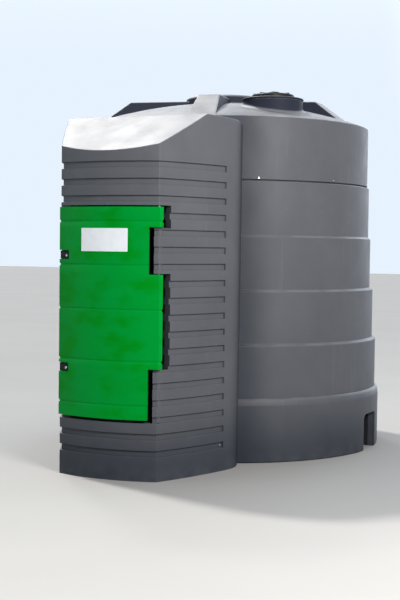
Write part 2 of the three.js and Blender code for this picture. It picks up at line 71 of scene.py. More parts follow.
def takeUp(obj):
    bpy.ops.object.select_all(action="DESELECT")
    obj.select_set(True)
    bpy.context.view_layer.objects.active = obj


def endEdit():
    bpy.ops.object.mode_set(mode="OBJECT")


def startEdit(obj, selecting="FACE"):
    if bpy.context.mode != "OBJECT":
        endEdit()
    takeUp(obj)
    bpy.ops.object.mode_set(mode="EDIT")
    bpy.ops.mesh.select_mode(type=selecting)


def selectAll(yes=True):
    bpy.ops.mesh.select_all(action="SELECT" if yes else "DESELECT")


def pickParts(obj, kind, parts, test):
    bpy.ops.mesh.select_mode(type=kind)
    selectAll(False)
    mesh = bmesh.from_edit_mesh(obj.data)
    count = 0
    for part in getattr(mesh, parts):
        if test(part):
            part.select_set(True)
            count += 1
    bmesh.update_edit_mesh(obj.data)
    return count


def pickFaces(obj, test):
    return pickParts(obj, "FACE", "faces", lambda face: test(face.calc_center_median(), face.normal))


def pickEdges(obj, test):
    return pickParts(obj, "EDGE", "edges", test)


def pickVerts(obj, test):
    return pickParts(obj, "VERT", "verts", lambda vert: test(vert.co))


def edgeMiddle(edge):
    return (edge.verts[0].co + edge.verts[1].co) / 2


def faceOutwards():
    selectAll()
    bpy.ops.mesh.normals_make_consistent(inside=False)


def faceFront(obj):
    # an open sheet turns its faces towards -Y
    faceOutwards()
    if sum(face.normal.y for face in bmesh.from_edit_mesh(obj.data).faces) > 0:
        bpy.ops.mesh.flip_normals()


def applyModifier(obj, kind, **how):
    if bpy.context.mode != "OBJECT":
        endEdit()
    made = obj.modifiers.new(kind.title(), kind)
    for key, value in how.items():
        setattr(made, key, value)
    takeUp(obj)
    bpy.ops.object.modifier_apply(modifier=made.name)


def softEdges(obj, width, segments, angle):
    applyModifier(obj, "BEVEL", width=width, segments=segments, limit_method="ANGLE", angle_limit=math.radians(angle))


def cutWith(obj, cutter, operation="DIFFERENCE", solver="EXACT"):
    applyModifier(obj, "BOOLEAN", operation=operation, object=cutter, solver=solver)
    bpy.data.objects.remove(cutter)


def joinInto(obj, others):
    takeUp(obj)
    for other in others:
        other.select_set(True)
    bpy.ops.object.join()


def copyPiece(obj, name):
    made = obj.copy()
    made.data = obj.data.copy()
    made.name = made.data.name = name
    bpy.context.scene.collection.objects.link(made)
    return made


def movePiece(obj, turn=0.0, by=(0, 0, 0)):
    # turned about the vertical through the origin, then moved, with its place kept in the mesh
    obj.rotation_euler = (0, 0, turn)
    obj.location = by
    takeUp(obj)
    bpy.ops.object.transform_apply(location=True, rotation=True, scale=True)


def smooth(obj, angle=40, flatter=True):
    takeUp(obj)
    bpy.ops.object.shade_smooth_by_angle(angle=math.radians(angle))
    if flatter:
        # large faces keep their own normal, and only the narrow rounded edges shade over
        applyModifier(obj, "WEIGHTED_NORMAL", mode="FACE_AREA", weight=90, keep_sharp=True)


def countTriangles(what, obj):
    print(what, "triangles", sum(len(p.vertices) - 2 for p in obj.data.polygons))


def place(obj, body, slot, material, *nodes):
    obj.data.materials.clear()
    obj.data.materials.append(material)
    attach(obj, body)
    if nodes:
        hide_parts(*nodes)
    return obj


def roundCorners(points, steps=4):
    # a corner given as (x, y, radius) becomes an arc, one given as (x, y) stays sharp
    made = []
    for i, point in enumerate(points):
        if len(point) == 2:
            made.append(tuple(point))
            continue
        here = Vector(point[:2])
        back = (Vector(points[i - 1][:2]) - here).normalized()
        ahead = (Vector(points[(i + 1) % len(points)][:2]) - here).normalized()
        half = back.angle(ahead) / 2
        cut = point[2] / math.tan(half)
        centre = here + (back + ahead).normalized() * (point[2] / math.sin(half))
        first, last = (here + back * cut - centre).normalized(), (here + ahead * cut - centre).normalized()
        for k in range(steps + 1):
            made.append(tuple(centre + first.slerp(last, k / steps) * point[2]))
    return made


def turnProfile(name, profile, segments=192, centre=(0, 0), startDisc=False, endPole=False):
    # a circle, extruded and resized up a profile of (radius, height)
    (radius, height), *rest = profile
    made = addPrimitive("circle", name, vertices=segments, radius=radius, location=(0, 0, height),
                        fill_type="NGON" if startDisc else "NOTHING")
    startEdit(made, "EDGE")
    selectAll()
    for nextRadius, nextHeight in rest:
        bpy.ops.mesh.extrude_edges_move(TRANSFORM_OT_translate={"value": (0, 0, nextHeight - height)})
        grow = max(nextRadius, 1e-5) / radius
        bpy.ops.transform.resize(value=(grow, grow, 1), center_override=(0, 0, nextHeight))
        radius, height = max(nextRadius, 1e-5), nextHeight
    if endPole:
        bpy.ops.mesh.merge(type="CENTER")
    selectAll()
    bpy.ops.mesh.remove_doubles(threshold=2e-5)
    bpy.ops.mesh.normals_make_consistent(inside=False)
    endEdit()
    if any(centre):
        movePiece(made, by=(*centre, 0))
    return made


def turnRing(name, points, segments, centre=(0, 0), share=1.0):
    # a closed section, with its radii taken at a share of their size
    profile = [(radius * share, height) for radius, height in roundCorners(points)]
    return turnProfile(name, profile + profile[:1], segments, centre)


def closeTop(obj, top):
    startEdit(obj, "EDGE")
    pickEdges(obj, lambda e: all(v.co.z > top - 0.05 for v in e.verts))
    bpy.ops.mesh.edge_face_add()
    faceOutwards()


def drawPath(name, points, height, closed=False):
    # one vertex, extruded from point to point over the plan
    made = addPrimitive("plane", name, size=0.01, location=(*points[0], height))
    startEdit(made, "VERT")
    selectAll()
    bpy.ops.mesh.merge(type="CENTER")
    for before, after in zip(points, points[1:]):
        step = (after[0] - before[0], after[1] - before[1], 0)
        bpy.ops.mesh.extrude_vertices_move(TRANSFORM_OT_translate={"value": step})
    if closed:
        ends = [Vector((*points[0], height)), Vector((*points[-1], height))]
        pickVerts(made, lambda co: min((co - end).length for end in ends) < 1e-5)
        bpy.ops.mesh.edge_face_add()
    return made


def raiseLevels(levels):
    # in edit mode, all edges drawn so far go up through the levels
    bpy.ops.mesh.select_mode(type="EDGE")
    selectAll()
    for low, high in zip(levels, levels[1:]):
        bpy.ops.mesh.extrude_edges_move(TRANSFORM_OT_translate={"value": (0, 0, high - low)})


cameraSettings = {
    "at": (3.323, -8.007, 1.366),
    "heading": (-0.4018, 0.9157, 0.0),
    "down": 2.49,
    "roll": 0.72,
    "lens": 71.82,
}


def makeCamera(s):
    bpy.ops.object.camera_add()
    made = bpy.context.object
    made.name = "camera"
    made.data.sensor_width = 36
    made.data.lens = s["lens"]
    down, roll = math.radians(s["down"]), math.radians(s["roll"])
    heading, up = Vector(s["heading"]).normalized(), Vector((0, 0, 1))
    forward = heading * math.cos(down) - up * math.sin(down)
    upright = heading * math.sin(down) + up * math.cos(down)
    right = forward.cross(upright)
    turnedRight = right * math.cos(roll) + upright * math.sin(roll)
    turnedUp = upright * math.cos(roll) - right * math.sin(roll)
    matrix = Matrix((turnedRight, turnedUp, -forward)).transposed().to_4x4()
    matrix.translation = Vector(s["at"])
    made.matrix_world = matrix
    bpy.context.scene.camera = made


for spare in [o for o in bpy.data.objects if o.name in ("Cube", "Light", "Camera")]:
    bpy.data.objects.remove(spare)
makeCamera(cameraSettings)
print("camera ready")


class Finish:
    # a node material whose patterns read Object coordinates
    def __init__(self, name, roughness, metallic=0.0):
        self.material = bpy.data.materials.new(name)
        self.material.use_nodes = True
        self.tree = self.material.node_tree
        self.shader = self.tree.nodes["Principled BSDF"]
        self.give("Roughness", roughness)
        self.give("Metallic", metallic)
        self.place = self.add("TexCoord").outputs["Object"]

    def add(self, kind, **settings):
        node = self.tree.nodes.new("ShaderNode" + kind)
        for key, value in settings.items():
            setattr(node, key, value)
        return node

    def feed(self, socket, value):
        if isinstance(value, bpy.types.NodeSocket):
            self.tree.links.new(value, socket)
        else:
            socket.default_value = value

    def give(self, name, value):
        self.feed(self.shader.inputs[name], value)

    def stretched(self, scale):
        node = self.add("Mapping")
        self.feed(node.inputs["Vector"], self.place)
        node.inputs["Scale"].default_value = scale
        return node.outputs["Vector"]

    def noise(self, scale, detail=4.0, rough=0.5, stretch=(1, 1, 1), seed=0.0):
        node = self.add("TexNoise", noise_dimensions="4D")
        self.feed(node.inputs["Vector"], self.stretched(stretch))
        node.inputs["W"].default_value = seed
        node.inputs["Scale"].default_value = scale
        node.inputs["Detail"].default_value = detail
        node.inputs["Roughness"].default_value = rough
        return node.outputs["Fac"]

    def span(self, value, low, high, to=(0.0, 1.0)):
        node = self.add("MapRange", interpolation_type="SMOOTHSTEP")
        self.feed(node.inputs["Value"], value)
        for socket, number in zip(("From Min", "From Max", "To Min", "To Max"), (low, high, *to)):
            node.inputs[socket].default_value = number
        return node.outputs["Result"]

    def maths(self, operation, first, second):
        node = self.add("Math", operation=operation)
        self.feed(node.inputs[0], first)
        self.feed(node.inputs[1], second)
        return node.outputs[0]

    def blend(self, factor, first, second, kind="MIX"):
        node = self.add("Mix", data_type="RGBA", blend_type=kind)
        self.feed(node.inputs[0], factor)
        self.feed(node.inputs[6], first)
        self.feed(node.inputs[7], second)
        return node.outputs[2]

    def height(self):
        node = self.add("SeparateXYZ")
        self.feed(node.inputs[0], self.place)
        return node.outputs["Z"]

    def cornerDistance(self, corner):
        # in plan, from an upright line that stands at (x, y) and at (-x, y)
        split = self.add("SeparateXYZ")
        self.feed(split.inputs[0], self.place)
        across = self.maths("SUBTRACT", self.maths("ABSOLUTE", split.outputs["X"], 0.0), corner[0])
        along = self.maths("SUBTRACT", split.outputs["Y"], corner[1])
        return self.maths("SQRT", self.maths("ADD", self.maths("MULTIPLY", across, across),
                                             self.maths("MULTIPLY", along, along)), 0.0)

    def facingUp(self):
        split = self.add("SeparateXYZ")
        self.feed(split.inputs[0], self.add("NewGeometry").outputs["Normal"])
        return split.outputs["Z"]

    def bump(self, value, strength, distance=0.001):
        node = self.add("Bump")
        node.inputs["Strength"].default_value = strength
        node.inputs["Distance"].default_value = distance
        self.feed(node.inputs["Height"], value)
        self.give("Normal", node.outputs["Normal"])

    def colour(self, value):
        self.give("Base Color", value)


greySettings = {
    "base": (0.075, 0.079, 0.090, 1), "pale": (0.085, 0.089, 0.100, 1), "deep": (0.067, 0.071, 0.081, 1),
    "dust": (0.24, 0.235, 0.225, 1), "stain": (0.17, 0.175, 0.185, 1),
    # the next two colours are painted shade: a blue tint for the foot, the lower walls and the upright corner, and a
    # near-black blue for the steep sides on the roof
    "shade": (0.0, 0.055, 0.13, 1), "steepShade": (0.012, 0.015, 0.027, 1),
    # the last value on the next line sets how far the steep sides on the roof are painted in near-black shade
    "runs": 0.10, "spots": 0.22, "lyingDust": 0.35, "splashBand": 0.22, "steepShadeShare": 0.86,
    # the first three values on the next line set how dark the painted shade gets at the foot, on the lower walls and
    # in the upright corner
    "footShade": 0.40, "lowerShade": 0.84, "cornerShade": 0.40, "corner": (0.500, -0.935), "cornerReach": 0.27,
    "steepFrom": (2.20, 2.24), "steepShine": 0.2, "shine": (0.2, 0.5),
    "roughness": (0.50, 0.58), "peelScale": 260, "waveShare": 5.0, "peel": 0.2,
}


def mouldedGrey(name, s):
    f = Finish(name, 0.6)
    clouds = f.noise(2.4, detail=5, rough=0.6)
    colour = f.blend(f.span(clouds, 0.35, 0.65), s["deep"], s["pale"])
    colour = f.blend(f.span(f.noise(11, detail=6, seed=3), 0.3, 0.7, (0.25, 0.8)), colour, s["base"])
    # pale streaks that rain leaves down the walls, and spots of dried splashes
    runs = f.noise(26, detail=3, stretch=(1, 1, 0.06), seed=5)
    colour = f.blend(f.span(runs, 0.58, 0.74, (0, s["runs"])), colour, s["stain"])
    spots = f.noise(38, detail=2, seed=9)
    colour = f.blend(f.span(spots, 0.70, 0.76, (0, s["spots"])), colour, s["stain"])
    # dust that lies on what faces up, and a splashed band above the ground
    lying = f.maths("MULTIPLY", f.span(f.facingUp(), 0.35, 0.95), f.span(f.noise(7, detail=6, seed=2), 0.3, 0.7))
    colour = f.blend(f.maths("MULTIPLY", lying, s["lyingDust"]), colour, s["dust"])
    band = f.maths("MULTIPLY", f.span(f.height(), 0.12, 0.0), f.span(f.noise(14, detail=7, seed=4), 0.35, 0.7))
    colour = f.blend(f.maths("MULTIPLY", band, s["splashBand"]), colour, s["dust"])
    # painted shade, tinted blue: darker towards the ground, a little darker on the lower walls, and darker in the
    # upright corner between the cabinet and the tank
    unshadedShare = f.maths("MULTIPLY", f.span(f.height(), 0.0, 0.50, (s["footShade"], 1.0)),
                    f.span(f.height(), 0.3, 2.1, (s["lowerShade"], 1.0)))
    unshadedShare = f.maths("MULTIPLY", unshadedShare,
                    f.span(f.cornerDistance(s["corner"]), 0.0, s["cornerReach"], (s["cornerShade"], 1.0)))
    # painted shade, a near-black blue, on the steep sides of what stands on the roof
    steep = f.maths("MULTIPLY", f.span(f.height(), *s["steepFrom"]), f.span(f.facingUp(), 0.55, 0.30))
    colour = f.blend(f.span(steep, 0.0, 1.0, (0.0, s["steepShadeShare"])), colour, s["steepShade"])
    shine = f.maths("MULTIPLY", f.span(steep, 0.0, 1.0, (1.0, s["steepShine"])),
                    f.span(f.facingUp(), 0.3, 0.8, s["shine"]))
    f.give("Specular IOR Level", shine)
    # the painted shade of the foot, the lower walls and the corner multiplies the colour here
    f.colour(f.blend(1.0, colour, f.blend(unshadedShare, s["shade"], (1, 1, 1, 1)), "MULTIPLY"))
    f.give("Roughness", f.span(f.noise(6, detail=4, seed=1), 0.3, 0.7, s["roughness"]))
    fine = f.noise(s["peelScale"], detail=2, rough=0.4)
    wave = f.noise(9, detail=2, seed=7)
    f.bump(f.maths("ADD", fine, f.maths("MULTIPLY", wave, s["waveShare"])), s["peel"])
    return f.material


greenSettings = {
    "base": (0.0, 0.199, 0.021, 1), "deep": (0.0, 0.173, 0.005, 1), "pale": (0.0, 0.210, 0.030, 1),
    "scuff": (0.06, 0.32, 0.10, 1), "scuffs": 0.12, "tint": (0.05, 1.0, 0.35, 1), "shine": 0.2,
    "roughness": (0.38, 0.5), "waveShare": 6.0, "peel": 0.14,
}


def doorGreen(name, s):
    f = Finish(name, 0.42)
    f.give("Specular IOR Level", s["shine"])
    f.give("Specular Tint", s["tint"])
    clouds = f.noise(5.5, detail=3, stretch=(1, 1, 1.7), seed=2)
    colour = f.blend(f.span(clouds, 0.44, 0.66), s["base"], s["deep"])
    colour = f.blend(f.span(f.noise(3, detail=3, seed=6), 0.5, 0.72, (0, 0.7)), colour, s["pale"])
    scuffs = f.noise(60, detail=4, stretch=(1, 1, 5), seed=8)
    f.colour(f.blend(f.span(scuffs, 0.68, 0.76, (0, s["scuffs"])), colour, s["scuff"]))
    f.give("Roughness", f.span(f.noise(8, detail=4, seed=1), 0.3, 0.7, s["roughness"]))
    fine = f.noise(300, detail=2, rough=0.4)
    f.bump(f.maths("ADD", fine, f.maths("MULTIPLY", f.noise(12, detail=2, seed=3), s["waveShare"])), s["peel"])
    return f.material


def plainFinish(name, base, second, roughness, grain, metallic=0.0, stretch=(1, 1, 1), strength=0.2, shine=0.5):
    f = Finish(name, roughness, metallic)
    f.give("Specular IOR Level", shine)
    f.colour(f.blend(f.span(f.noise(18, detail=5, stretch=stretch), 0.35, 0.7), base, second))
    low, high = roughness * 0.85, min(roughness * 1.2, 1)
    f.give("Roughness", f.span(f.noise(30, detail=4, seed=4), 0.3, 0.7, (low, high)))
    f.bump(f.noise(grain, detail=3, stretch=stretch, seed=1), strength)
    return f.material


grey = mouldedGrey("moulded_grey_finish", greySettings)
green = doorGreen("door_green_finish", greenSettings)
# near-black for the walls deep in the recesses: painted shade
dark = plainFinish("recess_shade_finish", (0.005, 0.006, 0.009, 1), (0.009, 0.010, 0.013, 1), 0.78, 220, shine=0.2)
rubber = plainFinish("seam_rubber_finish", (0.016, 0.018, 0.022, 1), (0.03, 0.033, 0.038, 1), 0.7, 300)
black = plainFinish("black_plastic_finish", (0.006, 0.006, 0.008, 1), (0.012, 0.012, 0.015, 1), 0.55, 420, shine=0.2)
white = plainFinish("plate_white_finish", (0.60, 0.63, 0.66, 1), (0.56, 0.59, 0.62, 1), 0.34, 150, strength=0.05)
steel = plainFinish("steel_finish", (0.55, 0.56, 0.57, 1), (0.42, 0.43, 0.44, 1), 0.3, 500, 1.0, (1, 1, 12))
print("materials ready")


tankSettings = {
    "segments": 192,
    "flats": 0.99786,  # the solid has 48 flat sides, and this keeps the round wall inside their corners' box
    "skirt": 1.115, "foot": 0.010, "skirtShoulder": 0.365, "skirtTop": 0.411,
    "rings": [(1.090, 0.757), (1.066, 1.103), (1.044, 1.454), (1.028, 1.799)],
    "stepSlope": 0.014, "skirtSoft": 0.012, "ringSoft": 0.005, "topSoft": 0.007, "wall": 0.012,
    "seamInner": 0.990, "shelf": 0.024,
    "gasketInner": 0.991, "gasketOuter": 1.007, "gasketLow": 1.7993, "gasketHigh": 1.8077, "gasketSoft": 0.003,
    "fillingShrink": 0.003, "fillingFoot": -0.05,
    "fillingTop": [(1.010, 1.81), (1.010, 2.20), (0.96, 2.235), (0.0, 2.40)],
}
recessSettings = {"from": -0.150, "to": 0.100, "height": 0.250, "corner": 0.040, "back": 0.900, "wall": 0.010,
                  "lipBack": 1.060, "lipReach": 1.1025, "lipExtra": 0.002, "pastLip": 0.004, "overlap": 0.0005,
                  "insideTop": 0.35}


def shellOutline(s, inset=0.0):
    points = [(s["skirt"] - inset, 0.0), (s["skirt"] - inset, s["skirtShoulder"], s["skirtSoft"])]
    across = s["skirt"] - s["rings"][0][0]
    rise = s["skirtTop"] - s["skirtShoulder"]
    for share in (0.35, 0.7, 0.9):
        angle = share * math.pi / 2
        points.append((s["rings"][0][0] - inset + across * math.cos(angle),
                       s["skirtShoulder"] + rise * math.sin(angle)))
    points.append((s["rings"][0][0] - inset, s["skirtTop"]))
    for (radius, top), (nextRadius, _) in zip(s["rings"], s["rings"][1:]):
        points.append((radius - inset, top - s["stepSlope"], s["ringSoft"]))
        points.append((nextRadius - inset, top, s["ringSoft"]))
    return points


def recessCutter(s, side, grow=0.0, back=None, far=1.2):
    # a block with two rounded upper edges, from the recess's back to past the skirt
    back = s["back"] if back is None else back
    low, high = s["from"] - grow, s["to"] + grow
    size = (far - back, high - low, s["height"] + grow + 0.1)
    middle = (side * (far + back) / 2, (low + high) / 2, (s["height"] + grow - 0.1) / 2)
    made = addPrimitive("cube", "recess_cutter", size=1, location=middle, scale=size)
    startEdit(made, "EDGE")
    top = s["height"] + grow
    pickEdges(made, lambda e: all(abs(v.co.z - top) < 1e-4 for v in e.verts)
              and abs(e.verts[0].co.y - e.verts[1].co.y) < 1e-4)
    bpy.ops.mesh.bevel(offset=s["corner"] + grow, segments=6, affect="EDGES")
    endEdit()
    return made


def makeLowerShell(s, recess):
    top = s["rings"][-1]
    foot = [(s["skirt"] - s["foot"] * (1 - math.sin(turn)), s["foot"] * (1 - math.cos(turn)))
            for turn in (0.0, math.pi / 6, math.pi / 3, math.pi / 2)]
    shelf = [(top[0], top[1], s["topSoft"]), (s["seamInner"], top[1]), (s["seamInner"], top[1] - s["shelf"]),
             (top[0] - s["wall"], top[1] - 2 * s["shelf"])]
    outer = foot + shellOutline(s)[1:] + shelf
    inner = [point[:2] for point in reversed(shellOutline(s, s["wall"]))]
    shell = turnRing("shell_moulding", outer + inner, s["segments"], share=s["flats"])
    for side in (-1, 1):
        cutWith(shell, recessCutter(recess, side))
    smooth(shell, 35)
    place(shell, "tank", "moulded_grey", grey, "shell_front", "shell_right", "shell_back", "shell_left")

    # the recess's own walls, trimmed to the inside of the skirt: a turned-in grey lip, and behind it walls coloured
    # near-black as painted shade
    rows = [(name, side, part) for name, side in (("left", -1), ("right", 1)) for part in ("lip", "walls")]
    for name, side, part in rows:
        grow, back = recess["wall"] - recess["overlap"], recess["back"] - recess["wall"]
        if part == "lip":
            grow, back = grow + recess["lipExtra"], recess["lipBack"]
        lining = recessCutter(recess, side, grow, back)
        cutWith(lining, recessCutter(recess, side, far=1.3))
        reach = recess["lipReach"] if part == "lip" else recess["lipBack"] + recess["pastLip"]
        inside = turnProfile("inside", [(reach, 0.0), (reach, recess["insideTop"])], s["segments"], startDisc=True)
        closeTop(inside, recess["insideTop"])
        cutWith(lining, inside, "INTERSECT")
        lining.name = lining.data.name = "recess_" + part + "_" + name
        smooth(lining, 35)
        if part == "lip":
            place(lining, "tank", "moulded_grey", grey)
        else:
            # painted shade: the walls behind the lip are near-black
            place(lining, "tank", "dark_grey", dark, "recess_lining_" + name)

    seam = [(s["gasketInner"], s["gasketLow"]), (s["gasketOuter"], s["gasketLow"], s["gasketSoft"]),
            (s["gasketOuter"], s["gasketHigh"], s["gasketSoft"]), (s["gasketInner"], s["gasketHigh"])]
    gasket = turnRing("seam_gasket_ring", seam, s["segments"], share=s["flats"])
    smooth(gasket, 50)
    place(gasket, "tank", "dark_grey", rubber, "seam_gasket")


makeLowerShell(tankSettings, recessSettings)
print("lower shell ready")


capSettings = {
    "radius": 1.0128, "bottom": 1.8083, "rim": 2.212, "rimSoft": 0.010, "segments": 144,
    "hub": 0.293, "hubBase": 2.374, "hubTop": 2.440, "hubSoft": 0.024, "hubFoot": 0.012, "rise": 0.022, "wall": 0.010,
    "ribs": [(13, 0.58), (88, 0.74), (159, 0.74), (231, 0.74), (303, 0.74)],  # direction and outer slope of each
    "ribInner": 0.200, "ribTopHub": 2.404, "ribTopOuter": 2.384, "ribSlopeFrom": 0.700,
    "ribTopHalf": 0.072, "ribBaseHalf": 0.094, "ribSoft": 0.008,
    "roofEdge": 1.015, "roofFrom": 0.975, "roofRings": 12,
    "neck": (0.5132, -0.4307), "neckRadius": 0.200, "neckTop": 2.354, "neckFlare": 0.030, "neckFoot": 0.030,
    "neckTall": 0.205, "neckSoft": 0.005, "neckRoom": 0.0065, "neckPress": 0.03,
    "bore": 0.120, "boreSpan": (2.0, 2.5),
}


def roofHeight(s, radius):
    share = (radius - s["hub"]) / (s["roofEdge"] - s["hub"])
    return s["hubBase"] + (s["rim"] - s["hubBase"]) * share + 4 * s["rise"] * share * (1 - share)


def makeRib(s, slope):
    # along +X: a tapered block, trimmed by the planes of its top and of its outer slope
    bottom, inner = s["rim"] - 0.03, s["ribInner"]
    lean = (s["ribBaseHalf"] - s["ribTopHalf"]) / (s["ribTopOuter"] - s["rim"])
    halfAt = lambda z: s["ribBaseHalf"] - lean * (z - s["rim"])
    outer = s["ribSlopeFrom"] + (s["ribTopOuter"] - bottom) / slope
    top = s["ribTopHub"] + 0.01
    rib = addPrimitive("cube", "rib", size=1, location=((inner + outer) / 2, 0, (bottom + top) / 2),
                       scale=(outer - inner, 2 * halfAt(bottom), top - bottom))
    startEdit(rib)
    pickFaces(rib, lambda co, normal: normal.z > 0.9)
    bpy.ops.transform.resize(value=(1, halfAt(top) / halfAt(bottom), 1), center_override=(0, 0, top))
    corner = Vector((s["ribSlopeFrom"], 0, s["ribTopOuter"]))
    run = corner - Vector((s["hub"], 0, s["ribTopHub"]))
    for normal in ((-run.z, 0, run.x), (slope, 0, 1)):
        selectAll()
        bpy.ops.mesh.bisect(plane_co=corner, plane_no=Vector(normal).normalized(), use_fill=True, clear_outer=True)
    faceOutwards()
    pickEdges(rib, lambda e: max(face.normal.z for face in e.link_faces) > 0.3 and e.calc_face_angle() > 0.1
              and edgeMiddle(e).x > inner + 0.01)
    bpy.ops.mesh.bevel(offset=s["ribSoft"], segments=3, affect="EDGES")
    endEdit()
    return rib


def makeNeck(s):
    # heights are above the sloping roof until the flare ends, so the foot lies on the roof all round
    flare, radius, tall, soft = s["neckFlare"], s["neckRadius"], s["neckTall"], s["neckSoft"]
    rows = [(radius + flare, -s["neckFoot"])]
    rows += [(radius + flare * (1 - math.sin(math.radians(turn))), flare * (1 - math.cos(math.radians(turn))) - 0.001)
             for turn in (0, 18, 36, 54, 72, 90)]
    neck = turnProfile("neck_part", rows + [(radius, tall - soft), (radius - soft, tall), (0.0, tall)], 96,
                       startDisc=True, endPole=True)
    for vert in neck.data.vertices:
        above = vert.co.z
        vert.co.x += s["neck"][0]
        vert.co.y += s["neck"][1]
        if above > tall - 3 * soft:
            vert.co.z = s["neckTop"] - (tall - above)
        else:
            # where the roof is almost as high as the neck, the flare is pressed flat under the neck's top
            limit = s["neckTop"] - s["neckRoom"] + above * s["neckPress"]
            vert.co.z = min(roofHeight(s, vert.co.to_2d().length) + above, limit)
    return neck


def makeCap(s):
    rings = s["roofRings"]
    radii = [s["hub"] + (1.0 - i / rings) * (s["roofFrom"] - s["hub"]) for i in range(rings)]
    wall = [(s["radius"] - 0.002, s["bottom"]), (s["radius"], s["bottom"] + 0.003),
            (s["radius"], s["rim"], s["rimSoft"])]
    hub = [(s["hub"], s["hubBase"] + 0.001, s["hubFoot"]), (s["hub"] - 0.004, s["hubTop"] - 0.004, s["hubSoft"]),
           (s["hub"] * 0.55, s["hubTop"]), (0.0, s["hubTop"])]
    profile = roundCorners(wall + [(r, roofHeight(s, r)) for r in radii] + hub, 5)
    cap = turnProfile("cap_moulding", profile, s["segments"], startDisc=True, endPole=True)
    for angle, slope in s["ribs"]:
        rib = makeRib(s, slope)
        movePiece(rib, math.radians(angle - 90))
        cutWith(cap, rib, "UNION")
    cutWith(cap, makeNeck(s), "UNION")
    low, high = s["boreSpan"]
    bore = turnProfile("bore", [(s["bore"], low), (s["bore"], high)], 96, s["neck"], startDisc=True)
    closeTop(bore, high)
    cutWith(cap, bore)
    startEdit(cap)
    middle = Vector(s["neck"])
    pickFaces(cap, lambda co, normal: co.z < s["bottom"] + 0.001 and normal.z < -0.5
              or (co.to_2d() - middle).length < s["bore"] + 0.001 and co.z < s["neckTop"] - 0.001)
    bpy.ops.mesh.delete(type="FACE")
    selectAll()
    bpy.ops.mesh.remove_doubles(threshold=5e-5)
    endEdit()
    applyModifier(cap, "SOLIDIFY", thickness=s["wall"], offset=-1)
    smooth(cap, 32)
    place(cap, "tank", "moulded_grey", grey, "roof", "roof_hub", "manhole_neck",
          *["roof_rib_" + str(i + 1) for i in range(len(s["ribs"]))],
          *["cap_wall_" + side for side in ("front", "right", "back", "left")])
    countTriangles("cap", cap)


makeCap(capSettings)
print("cap ready")


screwShape = {"sides": 20, "soft": 0.35, "rim": 0.35, "sink": 0.3}  # soft and sink by the head, rim by the radius


def makeScrew(s, radius, head):
    # stands on the origin and faces -Y
    screw = addPrimitive("cylinder", "screw", vertices=s["sides"], radius=radius, depth=head,
                         location=(0, 0, head / 2))
    startEdit(screw)
    pickFaces(screw, lambda co, normal: normal.z > 0.9)
    bpy.ops.mesh.bevel(offset=head * s["soft"], segments=3, affect="EDGES")
    pickFaces(screw, lambda co, normal: normal.z > 0.99)
    bpy.ops.mesh.inset(thickness=radius * s["rim"], depth=-head * s["sink"])
    endEdit()
    screw.rotation_euler = (math.radians(90), 0, 0)
    bpy.ops.object.transform_apply(location=True, rotation=True, scale=True)
    return screw


screwSettings = {"count": 11, "first": 34.6, "height": 1.819, "out": 1.0122, "radius": 0.0075, "head": 0.004}


def makeScrews(s):
    screw = makeScrew(screwShape, s["radius"], s["head"])
    movePiece(screw, by=(0, -s["out"], s["height"]))
    for i in range(s["count"]):
        copy = copyPiece(screw, "cap_screw_" + str(i + 1).zfill(2))
        movePiece(copy, math.radians(s["first"] + i * 360 / s["count"]))
        smooth(copy, 40)
        place(copy, "tank", "steel", steel)
    bpy.data.objects.remove(screw)


makeScrews(screwSettings)
print("screws ready")


lidSettings = {
    "centre": (0.5132, -0.4307), "seat": 2.3543, "turn": 50,
    "ringOuter": 0.205, "ringInner": 0.152, "ringTop": 2.365,
    "radius": 0.142, "skirt": 0.034, "skirtSoft": 0.006, "edgeIn": 0.010, "edgeUp": 0.007, "edgeSoft": 0.004,
    "crown": 0.043, "crownFlat": 0.040, "plug": 0.112, "plugDepth": 0.030,
    "block": (0.058, 0.080, 0.060), "blockFoot": 0.030, "blockSoft": 0.008,
    "grips": 8, "gripFrom": 0.064, "gripTo": 0.131, "gripHalf": 0.009, "gripTop": 0.047, "gripFoot": 0.025,
    "flutes": 36, "flute": 0.0035, "voxel": 0.0026,
}


